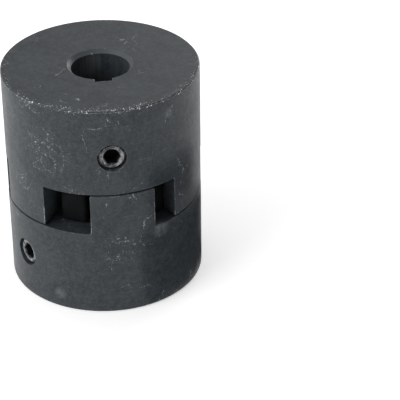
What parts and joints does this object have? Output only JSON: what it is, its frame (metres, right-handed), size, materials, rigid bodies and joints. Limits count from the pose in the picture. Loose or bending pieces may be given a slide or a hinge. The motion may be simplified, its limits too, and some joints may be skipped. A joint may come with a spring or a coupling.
{
  "type": "jaw coupling",
  "caption": "Flexible shaft coupling: two keyed iron hubs with interlocking jaws around a rubber spider, each locked by a socket set screw.",
  "frame": {"origin": "centre of the lower hub's end face, on the shaft axis", "axes": "+Z along the shaft axis from the lower hub to the upper hub; -Y through the middle of one jaw of the lower hub"},
  "size_m": [0.0536, 0.0536, 0.0625],
  "materials": {
    "blackened_iron": "blackened sintered iron, satin, lightly scuffed on its corners",
    "black_rubber": "matt moulded nitrile rubber",
    "blackened_screw": "black oxide alloy steel, satin"
  },
  "bodies": {
    "lower_hub": {"hub_lower": "blackened_iron"},
    "spider": {"spider": "black_rubber"},
    "upper_hub": {"hub_upper": "blackened_iron"},
    "lower_set_screw": {"set_screw_lower": "blackened_screw"},
    "upper_set_screw": {"set_screw_upper": "blackened_screw"}
  },
  "joints": [
    {"name": "spider_play", "type": "hinge", "parent": "lower_hub", "child": "spider", "pos_m": [0, 0, 0.03125], "axis": [0, 0, 1], "range_deg": [0, 7.1]},
    {"name": "upper_hub_pull_off", "type": "slide", "parent": "spider", "child": "upper_hub", "axis": [0, 0, 1], "range_m": [0, 0.03]},
    {"name": "lower_screw_travel", "type": "slide", "parent": "lower_hub", "child": "lower_set_screw", "axis": [-0.9157, -0.4019, 0], "range_m": [-0.0032, 0.01]},
    {"name": "upper_screw_travel", "type": "slide", "parent": "upper_hub", "child": "upper_set_screw", "axis": [-0.0958, -0.9954, 0], "range_m": [-0.0032, 0.01]}
  ]
}
